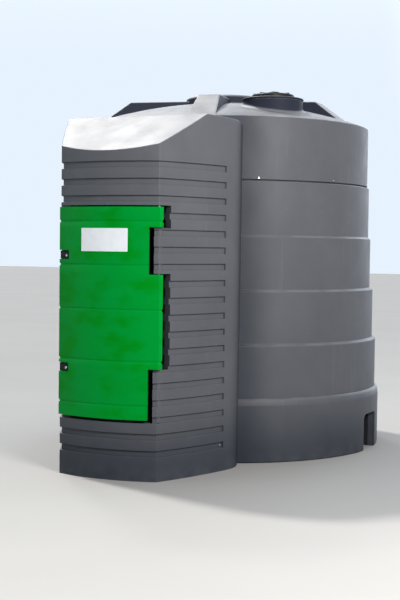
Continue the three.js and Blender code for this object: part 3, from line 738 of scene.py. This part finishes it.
def makeManhole(s):
    ring = [(s["ringOuter"], s["seat"], 0.002), (s["ringOuter"], s["ringTop"], 0.004),
            (s["ringInner"], s["ringTop"], 0.003), (s["ringInner"], s["seat"], 0.002)]
    flange = turnRing("manhole_flange", ring, 96, s["centre"])
    smooth(flange, 50)
    place(flange, "tank", "moulded_grey", grey, "manhole_ring")

    r = s["radius"]
    edge = (r - s["edgeIn"], s["skirt"] + s["edgeUp"], s["edgeSoft"])
    profile = roundCorners([(s["plug"], -s["plugDepth"]), (s["plug"], 0.0), (r, 0.0),
                            (r, s["skirt"], s["skirtSoft"]), edge, (s["crownFlat"], s["crown"]), (0.0, s["crown"])])
    lid = turnProfile("lid_cap", profile, 96, startDisc=True, endPole=True)
    wide, deep, high = s["block"]
    foot = s["blockFoot"]
    block = addPrimitive("cube", "block", size=1, location=(0, 0, (high + foot) / 2), scale=(wide, deep, high - foot))
    startEdit(block)
    pickFaces(block, lambda co, normal: normal.z > 0.9)
    bpy.ops.mesh.bevel(offset=s["blockSoft"], segments=2, affect="EDGES")
    endEdit()
    parts = [block]
    length = s["gripTo"] - s["gripFrom"]
    for i in range(s["grips"]):
        bar = addPrimitive("cube", "bar", size=1, scale=(length, 2 * s["gripHalf"], s["gripTop"] - s["gripFoot"]),
                           location=(s["gripFrom"] + length / 2, 0, (s["gripTop"] + s["gripFoot"]) / 2))
        movePiece(bar, math.radians((i + 0.5) * 360 / s["grips"]))
        parts.append(bar)
    # upright flutes round the skirt
    for i in range(s["flutes"]):
        flute = addPrimitive("cylinder", "flute", vertices=10, radius=s["flute"], depth=s["skirt"] - 0.010,
                             location=(r - s["flute"], 0, s["skirt"] / 2))
        movePiece(flute, math.radians(i * 360 / s["flutes"]))
        parts.append(flute)
    joinInto(lid, parts)
    applyModifier(lid, "REMESH", mode="VOXEL", voxel_size=s["voxel"], adaptivity=0.0)
    applyModifier(lid, "SMOOTH", factor=0.5, iterations=2)
    movePiece(lid, math.radians(s["turn"]), (*s["centre"], s["seat"]))
    smooth(lid, 60, flatter=False)
    place(lid, "lid", "black_plastic", black, "manhole_lid")
    countTriangles("lid", lid)


makeManhole(lidSettings)
print("manhole ready")


cabinetSettings = {
    "corner": (0.325, -1.774), "bow": 0.059, "heading": 63.0, "bend": 2.8, "shoulderFrom": 0.600,
    "shoulderBend": 0.300, "shoulderHeading": 108.0, "run": 0.210, "cornerSoft": 0.012,
    "grooveFirst": 1.865, "groovePitch": 0.0991, "grooveHeight": 0.038, "grooveDepth": 0.013, "grooves": 18,
    "grooveEnd": 0.560, "screwAt": 0.536, "screwRadius": 0.007, "screwHead": 0.005,
    "doorwayTop": 1.609, "doorwayBottom": 0.3405, "tabEdge": 0.298, "windowEnd": 0.088,
    "jambStart": 0.022, "windows": [(0.653, 1.213), (1.476, 1.609)],
    "topReturn": 0.045, "sillReturn": 0.040, "jambSteps": [(0.028, -0.009, 0), (0.045, -0.015, 0)],
    "windowReturn": 0.050, "windowHeading": 64.8,
    "hood": [(-1.900, 1.884), (-1.774, 1.965), (-1.428, 2.166), (-0.860, 2.146)],
    "rimSoft": 0.009, "rimEnd": -0.87, "wall": 0.012, "edgeSoft": 0.0025,
}
cornerX, cornerY = cabinetSettings["corner"]
bow = cabinetSettings["bow"]
bowRadius = (cornerX ** 2 + bow ** 2) / (2 * bow)
bowCentre = cornerY - bow + bowRadius


def onBow(radius, x):
    return (x, bowCentre - math.sqrt(radius * radius - x * x))


def sidePoint(s, distance):
    start = math.radians(s["heading"])
    turn = start + s["shoulderFrom"] / s["bend"]
    final = math.radians(s["shoulderHeading"])

    def arc(origin, radius, first, last):
        return (origin[0] + radius * (math.sin(last) - math.sin(first)),
                origin[1] + radius * (math.cos(first) - math.cos(last)))

    if distance <= s["shoulderFrom"]:
        return arc(s["corner"], s["bend"], start, start + distance / s["bend"])
    shoulder = arc(s["corner"], s["bend"], start, turn)
    past = distance - s["shoulderFrom"]
    length = (final - turn) * s["shoulderBend"]
    if past <= length:
        return arc(shoulder, s["shoulderBend"], turn, turn + past / s["shoulderBend"])
    end = arc(shoulder, s["shoulderBend"], turn, final)
    run = past - length
    return (end[0] + run * math.cos(final), end[1] + run * math.sin(final))


def tankFilling(s):
    # the round tank as one block, to trim what runs into it
    shrink = s["fillingShrink"]
    outer = shellOutline(s, shrink) + [(s["rings"][-1][0] - shrink, 1.80)] + s["fillingTop"]
    profile = roundCorners(outer, 2)
    profile[0] = (profile[0][0], s["fillingFoot"])
    return turnProfile("tank_filling", [(r * s["flats"], z) for r, z in profile], s["segments"],
                       startDisc=True, endPole=True)


def makeCabinet(s):
    turned = math.radians(s["shoulderHeading"] - s["heading"]) - s["shoulderFrom"] / s["bend"]
    arc = turned * s["shoulderBend"]
    stations = [0.0, s["jambStart"], s["windowEnd"], 0.15, 0.22, 0.29, 0.36, 0.43, 0.50, s["grooveEnd"]]
    stations += [s["shoulderFrom"] + arc * i / 12 for i in range(13)]
    stations += [s["shoulderFrom"] + arc + s["run"] * i / 3 for i in (1, 2, 3)]
    right = [sidePoint(s, distance) for distance in stations]
    left = [(-x, y) for x, y in reversed(right)]
    front = [onBow(bowRadius, x) for x in [-0.298 + 0.0298 * i for i in range(20)] + [s["tabEdge"]]]
    plan = left[:-1] + [(*left[-1], s["cornerSoft"])] + front + [(*right[0], s["cornerSoft"])] + right[1:]
    cabinet = drawPath("cabinet_moulding", roundCorners(plan, 3), 0.0, closed=True)

    grooves = [s["grooveFirst"] - i * s["groovePitch"] for i in range(s["grooves"])]
    levels = {0.0, s["doorwayTop"], 2.80, *grooves, *[top - s["grooveHeight"] for top in grooves]}
    levels.update(z for window in s["windows"] for z in window)
    raiseLevels(sorted(levels))
    faceOutwards()
    hood = [Vector((0, y, z)) for y, z in s["hood"]]
    for a, b in zip(hood, hood[1:]):
        selectAll()
        run = b - a
        normal = Vector((0, -run.z, run.y)).normalized()
        bpy.ops.mesh.bisect(plane_co=a, plane_no=normal, use_fill=True, clear_outer=True)
    faceOutwards()

    # the hood's rim and creases are rounded before anything is pushed in
    def isRim(edge):
        if len(edge.link_faces) != 2 or edgeMiddle(edge).y > s["rimEnd"]:
            return False
        first, second = (face.normal for face in edge.link_faces)
        return max(first.z, second.z) > 0.3 and first.dot(second) < 0.9995 and min(first.z, second.z) > -0.5

    print("rim edges", pickEdges(cabinet, isRim))
    bpy.ops.mesh.bevel(offset=s["rimSoft"], segments=4, affect="EDGES", clamp_overlap=True)

    grooveEndY = sidePoint(s, s["grooveEnd"])[1]

    def inGroove(co, normal):
        return (abs(normal.z) < 0.3 and co.y < grooveEndY
                and any(top - s["grooveHeight"] < co.z < top for top in grooves))

    print("groove faces", pickFaces(cabinet, inGroove))
    bpy.ops.mesh.extrude_region_shrink_fatten(
        TRANSFORM_OT_shrink_fatten={"value": -s["grooveDepth"], "use_even_offset": True})
    grooveTop = s["grooveFirst"] + 0.001
    print("groove edges", pickEdges(cabinet, lambda e: e.is_convex and e.calc_face_angle(0.0) > 1.0
                                    and 0.1 < edgeMiddle(e).z < grooveTop))  # not the foot or the hood
    bpy.ops.mesh.bevel(offset=s["edgeSoft"], segments=2, affect="EDGES", clamp_overlap=False)

    windowY, jambY = sidePoint(s, s["windowEnd"])[1], sidePoint(s, s["jambStart"])[1]

    def inOpening(co, normal):
        if not s["doorwayBottom"] + 0.0004 < co.z < s["doorwayTop"] - 0.0004 or co.y > windowY:
            return False
        if co.x < 0:
            return co.y < jambY or co.x > -0.30
        return co.x < s["tabEdge"] or any(low < co.z < high for low, high in s["windows"])

    print("opening faces", pickFaces(cabinet, inOpening))
    bpy.ops.mesh.delete(type="FACE")

    def openEdge(test):
        return lambda e: e.is_boundary and test(edgeMiddle(e)) and edgeMiddle(e).z > 0.1

    def drawIn(test, *steps):
        pickEdges(cabinet, openEdge(test))
        for step in steps:
            bpy.ops.mesh.extrude_edges_move(TRANSFORM_OT_translate={"value": step})

    drawIn(lambda m: abs(m.z - s["doorwayTop"]) < 1e-4 and m.x < s["tabEdge"], (0, s["topReturn"], 0))
    drawIn(lambda m: abs(m.z - s["doorwayBottom"]) < 1e-4 and m.x < s["tabEdge"], (0, s["sillReturn"], 0))
    drawIn(lambda m: m.x < -0.30 and abs(m.y - jambY) < 0.02 and s["doorwayBottom"] < m.z < s["doorwayTop"],
           *s["jambSteps"])
    heading = math.radians(s["windowHeading"])
    inward = Vector((-math.sin(heading), math.cos(heading), 0)) * s["windowReturn"]
    windowX = sidePoint(s, s["windowEnd"])[0]
    drawIn(lambda m: abs(m.x - windowX) < 0.02 and abs(m.y - windowY) < 0.012
           and s["windows"][0][0] < m.z < s["doorwayTop"], inward)

    # the open back, inside the tank, goes
    pickFaces(cabinet, lambda co, normal: normal.y > 0.9 and co.y > -0.95 and abs(co.x) < 0.45)
    bpy.ops.mesh.delete(type="FACE")
    endEdit()
    applyModifier(cabinet, "SOLIDIFY", thickness=s["wall"], offset=-1)
    cutWith(cabinet, tankFilling(tankSettings), solver="MANIFOLD")
    smooth(cabinet, 42)
    place(cabinet, "tank", "moulded_grey", grey, "cabinet_wall_right", "cabinet_wall_left", "cabinet_front_upper",
          "cabinet_front_lower", "cabinet_hood", "lock_jamb", "hinge_tab_lower", "hinge_tab_upper")
    countTriangles("cabinet", cabinet)


def makeGrooveScrews(s):
    # one at the end of the lowest groove on each side
    x, y = sidePoint(s, s["screwAt"])
    turn = math.radians(s["heading"]) + s["screwAt"] / s["bend"]
    sunk = s["grooveDepth"] - 0.0005
    x, y = x - sunk * math.sin(turn), y + sunk * math.cos(turn)
    height = s["grooveFirst"] - (s["grooves"] - 1) * s["groovePitch"] - s["grooveHeight"] / 2
    for name, side in (("left", -1), ("right", 1)):
        screw = makeScrew(screwShape, s["screwRadius"], s["screwHead"])
        screw.name = screw.data.name = "cabinet_screw_" + name
        movePiece(screw, side * turn, (side * x, y, height))
        smooth(screw, 40)
        place(screw, "tank", "steel", steel)


makeCabinet(cabinetSettings)
makeGrooveScrews(cabinetSettings)
print("cabinet ready")


doorSettings = {
    "left": -0.327, "right": 0.275, "bottom": 0.360, "top": 1.600, "proud": 0.012, "thick": 0.026,
    "tabs": [(0.658, 1.208), (1.481, 1.600)], "cornerSoft": 0.012, "lip": 0.024, "tabThick": 0.014,
    "creases": [0.442, 0.700, 1.001, 1.260, 1.516], "creaseHalf": 0.011, "creaseDepth": 0.0065,
    "creaseFlat": 0.002, "columns": 26,
    "locks": [0.647, 1.317], "pocketAt": -0.287, "pocketHalf": 0.027, "pocketTo": -0.247, "pocketDepth": 0.018,
    "pocketSlope": 0.30, "cornerX": 0.337, "edgeSoft": 0.005,
}
faceRadius = bowRadius + doorSettings["proud"]
pinSettings = {"at": (0.312, -1.746), "bore": 0.009, "barrel": 0.018, "soft": 0.003,
               "wall": [(0.343, 0.652), (1.214, 1.475)], "door": [(0.659, 1.207), (1.482, 1.599)]}


def makeDoor(s):
    across = [s["left"] + (s["right"] - s["left"]) * i / s["columns"] for i in range(s["columns"] + 1)]
    plan = [onBow(faceRadius, x) for x in across]
    corner = onBow(faceRadius, s["cornerX"])
    heading = math.radians(cabinetSettings["heading"])
    plan += [(*corner, s["cornerSoft"]), (corner[0] + s["lip"] * math.cos(heading),
                                          corner[1] + s["lip"] * math.sin(heading))]
    door = drawPath("door_panel", roundCorners(plan, 4), s["bottom"])
    levels = {s["bottom"], s["top"], *[z for tab in s["tabs"] for z in tab]}
    for z in s["creases"]:
        levels.update((z - s["creaseHalf"], z - s["creaseFlat"], z + s["creaseFlat"], z + s["creaseHalf"]))
    raiseLevels(sorted(levels))
    pickFaces(door, lambda co, normal: co.x > s["right"] and not any(a < co.z < b for a, b in s["tabs"]))
    bpy.ops.mesh.delete(type="FACE")
    faceFront(door)
    endEdit()
    full = door.vertex_groups.new(name="full")
    full.add([v.index for v in door.data.vertices if v.co.x < s["right"] + 0.001], 1.0, "REPLACE")
    applyModifier(door, "SOLIDIFY", thickness=s["thick"], offset=-1, use_even_offset=True, vertex_group="full",
                  thickness_vertex_group=s["tabThick"] / s["thick"])
    door.vertex_groups.clear()
    startEdit(door)

    def onFace(co):
        return co.x > s["cornerX"] - 0.004 or math.hypot(co.x, co.y - bowCentre) > faceRadius - 0.002

    pickVerts(door, lambda co: any(abs(co.z - z) < s["creaseFlat"] + 0.0005 for z in s["creases"]) and onFace(co))
    bpy.ops.transform.shrink_fatten(value=-s["creaseDepth"])
    endEdit()
    turn = math.asin(s["pocketAt"] / faceRadius)
    width = abs(s["left"] - s["pocketTo"]) + 0.03
    x = s["pocketTo"] - width / 2
    y = onBow(faceRadius, s["pocketAt"])[1] - (x - s["pocketAt"]) * s["pocketSlope"]
    for z in s["locks"]:
        pocket = addPrimitive("cube", "pocket", size=1, scale=(width, 2 * s["pocketDepth"], 2 * s["pocketHalf"]))
        movePiece(pocket, turn, (x, y, z))
        cutWith(door, pocket)
    softEdges(door, s["edgeSoft"], 3, 55)
    smooth(door, 50)
    place(door, "door", "green_plastic", green, "door")
    countTriangles("door", door)


def makeBarrels(s):
    rows = [("hinge_barrel_wall_", "tank", "moulded_grey", grey, s["wall"]),
            ("hinge_barrel_door_", "door", "green_plastic", green, s["door"])]
    for name, body, slot, material, spans in rows:
        for i, (low, high) in enumerate(spans):
            ring = [(s["bore"], low), (s["barrel"], low, s["soft"]), (s["barrel"], high, s["soft"]),
                    (s["bore"], high)]
            barrel = turnRing(name + str(i + 1), ring, 32, s["at"])
            smooth(barrel, 40)
            place(barrel, body, slot, material)


makeDoor(doorSettings)
makeBarrels(pinSettings)
print("door ready")


lockSettings = {
    "middle": -0.286, "width": 0.070, "height": 0.047, "depth": 0.012, "seat": 0.0177,
    "border": 0.006, "groove": 0.003, "panelIn": 0.005, "panelOut": 0.005, "soft": 0.0012,
    "cylinder": 0.008, "cylinderLong": 0.006, "cylinderAt": (0.024, -0.004), "keyRim": 0.0025, "keyDeep": 0.0015,
}


def makeLocks(s):
    turn = math.asin(s["middle"] / faceRadius)
    at = onBow(faceRadius - s["seat"], s["middle"])
    for name, z in (("lower", doorSettings["locks"][0]), ("upper", doorSettings["locks"][1])):
        block = addPrimitive("cube", "lock_" + name, size=1, location=(0, -s["depth"] / 2, 0),
                             scale=(s["width"], s["depth"], s["height"]))
        startEdit(block)
        pickFaces(block, lambda co, normal: normal.y < -0.9)
        bpy.ops.mesh.inset(thickness=s["border"], depth=-s["groove"])
        bpy.ops.mesh.inset(thickness=s["panelIn"], depth=s["panelOut"])
        endEdit()
        softEdges(block, s["soft"], 2, 40)
        movePiece(block, turn, (at[0], at[1], z))
        smooth(block, 40)
        place(block, "door", "black_plastic", black, "door_lock_" + name)

        x, height = s["cylinderAt"]
        barrel = addPrimitive("cylinder", "lock_cylinder_" + name, vertices=32, radius=s["cylinder"],
                              depth=s["cylinderLong"], location=(x, -s["depth"] - s["cylinderLong"] / 2, height),
                              rotation=(math.radians(90), 0, 0))
        startEdit(barrel)
        pickFaces(barrel, lambda co, normal: normal.y < -0.9)
        bpy.ops.mesh.bevel(offset=s["soft"], segments=3, affect="EDGES")
        pickFaces(barrel, lambda co, normal: normal.y < -0.99)
        bpy.ops.mesh.inset(thickness=s["keyRim"], depth=-s["keyDeep"])
        endEdit()
        movePiece(barrel, turn, (at[0], at[1], z))
        smooth(barrel, 40)
        place(barrel, "door", "steel", steel)


plateSettings = {"half": 0.152, "bottom": 1.339, "top": 1.475, "thick": 0.002, "gap": 0.0002, "corner": 0.004,
                 "soft": 0.0006}


def makePlate(s):
    radius = faceRadius + s["gap"]
    points = [onBow(radius, -s["half"] + 2 * s["half"] * i / 12) for i in range(13)]
    plate = drawPath("door_plate", points, s["bottom"])
    raiseLevels([s["bottom"], s["top"]])
    faceFront(plate)
    pickVerts(plate, lambda co: abs(co.x) > s["half"] - 1e-4)
    bpy.ops.mesh.bevel(offset=s["corner"], segments=4, affect="VERTICES")
    endEdit()
    applyModifier(plate, "SOLIDIFY", thickness=s["thick"], offset=1)
    softEdges(plate, s["soft"], 2, 50)
    smooth(plate, 40)
    place(plate, "door", "white_plate", white, "label_plate")


makeLocks(lockSettings)
makePlate(plateSettings)
print("locks and plate ready")


carried = {"tank_floor": grey, "cabinet_base": grey, "cabinet_floor": grey, "hinge_pin": steel}
for node, material in carried.items():
    shown = frame["nodes"][node]
    shown.data.materials.clear()
    shown.data.materials.append(material)
print("carried-over solids dressed")


studioSettings = {
    "floor": (0.245, 0.24, 0.232, 1), "sky": (0.80, 0.89, 1.0, 1),
    # each row: direction, the share of it where the change starts and ends, and the strength there
    "skyRows": [((-0.35, 0.94, 0), 0.2, 0.9, 0.25, 1.25), ((0, 0, 1), 0.15, 0.50, 0.80, 1.50),
                ((0.22, 0.93, 0.20), 0.88, 1.0, 1.0, 4.0)],
    "sunColour": (1, 0.98, 0.95),
    "suns": {"key": ((-0.535, 0.205, 0.819), 4.2, 5.0), "rim": ((-0.46, 0.50, 0.73), 0.74, 8.0)},
    # each row: place, heading, power, size and colour
    "fills": {"front": ((-6.2, -5.6, 3.2), (6.5, 4.7, -2.2), 105, 3.0, (0.80, 0.91, 1)),
              "side": ((6.0, -5.4, 4.5), (-5.7, 4.6, -3.8), 935, 3.0, (1, 0.97, 0.94)),
              "top": ((0.3, -0.9, 8.0), (0, 0, -1), 200, 5.0, (0.93, 0.96, 1))},
}


def aimed(direction):
    return direction.to_track_quat("-Z", "Y").to_euler()


def addLamp(kind, name, at, heading, power, size, colour):
    bpy.ops.object.light_add(type=kind, location=at)
    lamp = bpy.context.object
    lamp.name = name
    lamp.data.energy = power
    lamp.data.color = colour
    if kind == "SUN":
        lamp.data.angle = math.radians(size)
    else:
        lamp.data.shape = "DISK"
        lamp.data.size = size
    lamp.rotation_euler = aimed(heading)


def makeStudio(s):
    floor = addPrimitive("plane", "studio_floor", size=120)
    f = Finish("studio_floor_finish", 0.85)
    darker = tuple(c * 0.95 for c in s["floor"][:3]) + (1,)
    f.colour(f.blend(f.span(f.noise(0.6, detail=6), 0.3, 0.7), s["floor"], darker))
    floor.data.materials.append(f.material)
    world = bpy.data.worlds.new("studio_world")
    world.use_nodes = True
    tree = world.node_tree
    background = tree.nodes["Background"]
    background.inputs["Color"].default_value = s["sky"]
    # the sky is brighter behind the tank, higher up, and most of all low down to the right of the back
    around = tree.nodes.new("ShaderNodeTexCoord")
    strength = None
    for direction, *numbers in s["skyRows"]:
        share = tree.nodes.new("ShaderNodeVectorMath")
        share.operation = "DOT_PRODUCT"
        share.inputs[1].default_value = Vector(direction).normalized()
        tree.links.new(around.outputs["Generated"], share.inputs[0])
        ease = tree.nodes.new("ShaderNodeMapRange")
        ease.interpolation_type = "SMOOTHSTEP"
        tree.links.new(share.outputs["Value"], ease.inputs["Value"])
        for socket, number in zip(("From Min", "From Max", "To Min", "To Max"), numbers):
            ease.inputs[socket].default_value = number
        if strength is None:
            strength = ease.outputs["Result"]
            continue
        product = tree.nodes.new("ShaderNodeMath")
        product.operation = "MULTIPLY"
        tree.links.new(ease.outputs["Result"], product.inputs[0])
        tree.links.new(strength, product.inputs[1])
        strength = product.outputs[0]
    tree.links.new(strength, background.inputs["Strength"])
    bpy.context.scene.world = world
    for name, (towards, power, angle) in s["suns"].items():
        addLamp("SUN", name + "_light", Vector(towards) * 9, -Vector(towards), power, angle, s["sunColour"])
    for name, (at, heading, power, size, colour) in s["fills"].items():
        addLamp("AREA", name + "_light", at, Vector(heading), power, size, colour)


makeStudio(studioSettings)
bpy.context.scene.view_settings.view_transform = "Standard"
print("studio ready")
